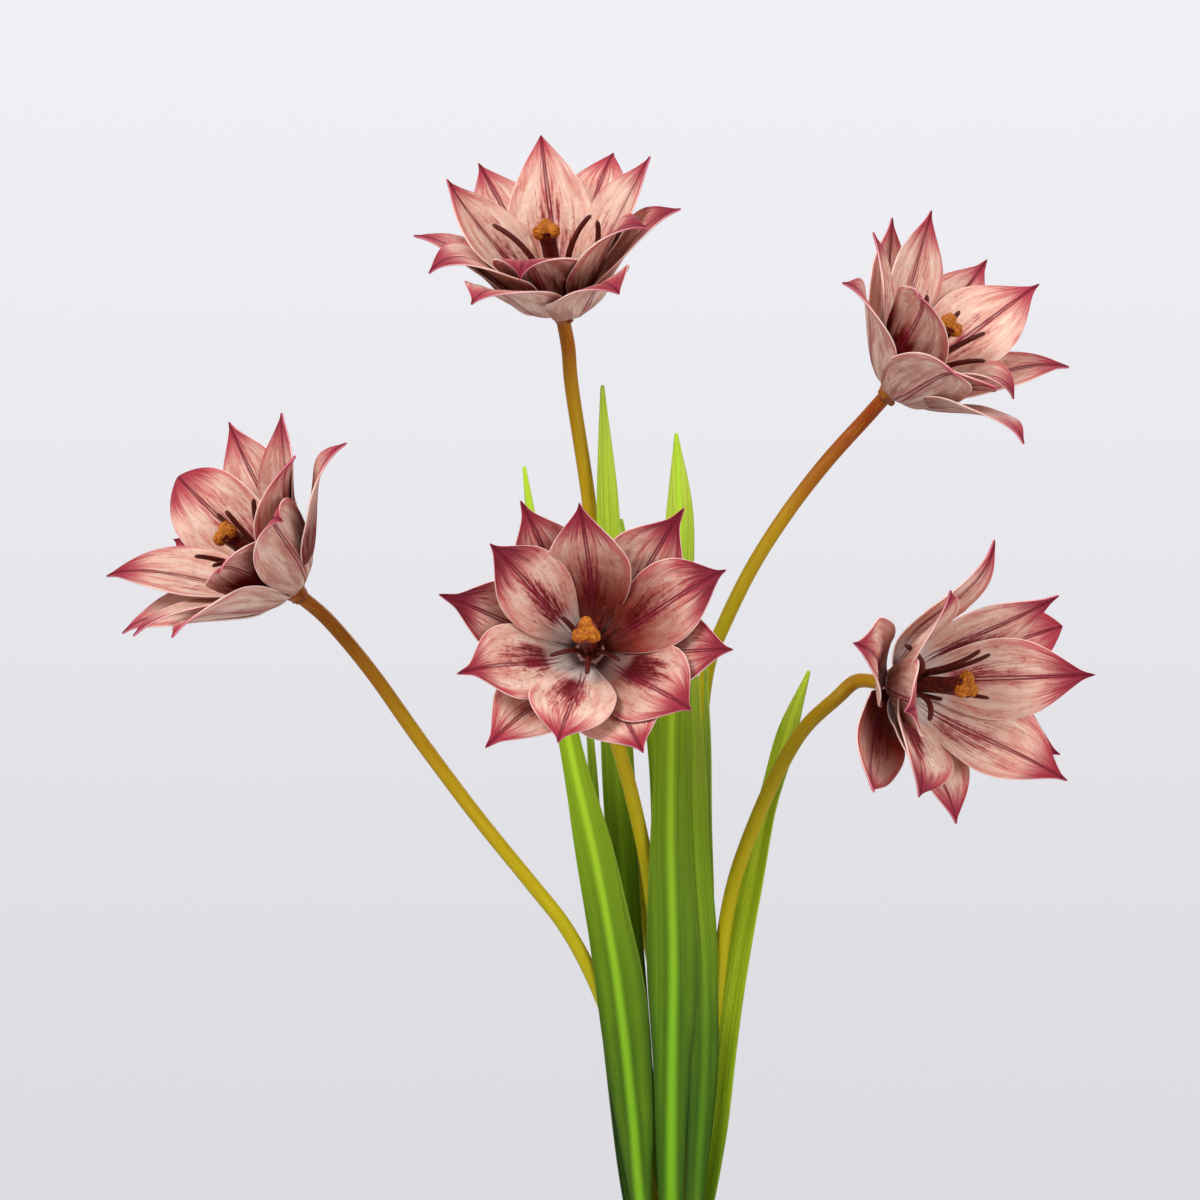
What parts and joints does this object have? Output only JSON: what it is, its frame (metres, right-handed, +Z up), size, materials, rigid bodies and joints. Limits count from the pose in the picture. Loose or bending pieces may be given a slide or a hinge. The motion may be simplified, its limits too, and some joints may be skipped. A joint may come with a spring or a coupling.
{
  "type": "artificial tulip bush",
  "caption": "Artificial tulip bush: open pink and peach flower heads on wired stems that can be bent, set with folded strap leaves in a moulded foot.",
  "frame": {"origin": "centre of the foot's flat underside", "axes": "+Z up along the foot, +X to the right and +Y to the back as the picture sees the bush"},
  "size_m": [0.3556, 0.1536, 0.4831],
  "materials": {
    "foot": "moulded matt green plastic",
    "collar": "moulded matt dark green plastic",
    "stem": "golden olive plastic coat, browner towards the flower, satin",
    "wire": "drawn steel wire",
    "leaf": "printed and pressed polyester leaf with a lime midrib and fine lengthwise veins",
    "receptacle": "matt brown plastic",
    "outer_petal": "pressed and printed fabric petal, peach with magenta tips and maroon blotches, pale rim",
    "inner_petal": "pressed and printed fabric petal, peach with magenta tips and maroon blotches, pale rim",
    "stamen": "matt dark brown plastic",
    "pistil": "matt brown plastic with an orange stigma"
  },
  "bodies": {
    "base": {"foot": "foot", "collar": "collar", "leaf_front_left": "leaf", "leaf_front": "leaf", "leaf_front_right": "leaf", "leaf_right_back": "leaf", "leaf_back": "leaf", "leaf_back_left": "leaf", "leaf_left": "leaf"},
    "stem_top": {"stem_top": "stem", "stem_wire_top": "wire"},
    "head_top": {"receptacle_top": "receptacle", "outer_petals_top": "outer_petal", "inner_petals_top": "inner_petal", "stamens_top": "stamen", "pistil_top": "pistil"},
    "stem_right": {"stem_right": "stem", "stem_wire_right": "wire"},
    "head_right": {"receptacle_right": "receptacle", "outer_petals_right": "outer_petal", "inner_petals_right": "inner_petal", "stamens_right": "stamen", "pistil_right": "pistil"},
    "stem_left": {"stem_left": "stem", "stem_wire_left": "wire"},
    "head_left": {"receptacle_left": "receptacle", "outer_petals_left": "outer_petal", "inner_petals_left": "inner_petal", "stamens_left": "stamen", "pistil_left": "pistil"},
    "stem_front": {"stem_front": "stem", "stem_wire_front": "wire"},
    "head_front": {"receptacle_front": "receptacle", "outer_petals_front": "outer_petal", "inner_petals_front": "inner_petal", "stamens_front": "stamen", "pistil_front": "pistil"},
    "stem_low": {"stem_low": "stem", "stem_wire_low": "wire", "leaf_on_low_stem": "leaf"},
    "head_low": {"receptacle_low": "receptacle", "outer_petals_low": "outer_petal", "inner_petals_low": "inner_petal", "stamens_low": "stamen", "pistil_low": "pistil"}
  },
  "joints": [
    {"name": "bend_stem_top", "type": "hinge", "parent": "base", "child": "stem_top", "pos_m": [-0.00294, 0.00405, 0.0663], "axis": [-0.9962, -0.0872, 0], "range_deg": [-1, 3]},
    {"name": "turn_head_top", "type": "hinge", "parent": "stem_top", "child": "head_top", "pos_m": [-0.04, 0.005, 0.4175], "axis": [-0.1501, -0.5803, 0.8004], "continuous": true},
    {"name": "bend_stem_right", "type": "hinge", "parent": "base", "child": "stem_right", "pos_m": [0.00294, 0.00405, 0.0663], "axis": [-0.9848, 0.1736, 0], "range_deg": [-1.5, 6]},
    {"name": "turn_head_right", "type": "hinge", "parent": "stem_right", "child": "head_right", "pos_m": [0.0802, 0.01, 0.3889], "axis": [0.5793, -0.4794, 0.6592], "continuous": true},
    {"name": "bend_stem_left", "type": "hinge", "parent": "base", "child": "stem_left", "pos_m": [-0.00476, -0.00155, 0.0663], "axis": [0, -1, 0], "range_deg": [-2, 6]},
    {"name": "turn_head_left", "type": "hinge", "parent": "stem_left", "child": "head_left", "pos_m": [-0.1368, 0, 0.3161], "axis": [-0.6804, -0.4203, 0.6004], "continuous": true},
    {"name": "bend_stem_front", "type": "hinge", "parent": "base", "child": "stem_front", "pos_m": [0, -0.005, 0.0663], "axis": [0.5299, -0.848, 0], "range_deg": [-3, 3]},
    {"name": "turn_head_front", "type": "hinge", "parent": "stem_front", "child": "head_front", "pos_m": [-0.029, -0.045, 0.2939], "axis": [-0.0502, -0.974, 0.2209], "continuous": true},
    {"name": "bend_stem_low", "type": "hinge", "parent": "base", "child": "stem_low", "pos_m": [0.00476, -0.00155, 0.0663], "axis": [-0.1736, 0.9848, 0], "range_deg": [0, 10]},
    {"name": "turn_head_low", "type": "hinge", "parent": "stem_low", "child": "head_low", "pos_m": [0.0766, -0.045, 0.2831], "axis": [0.712, -0.7019, -0.0201], "continuous": true}
  ]
}
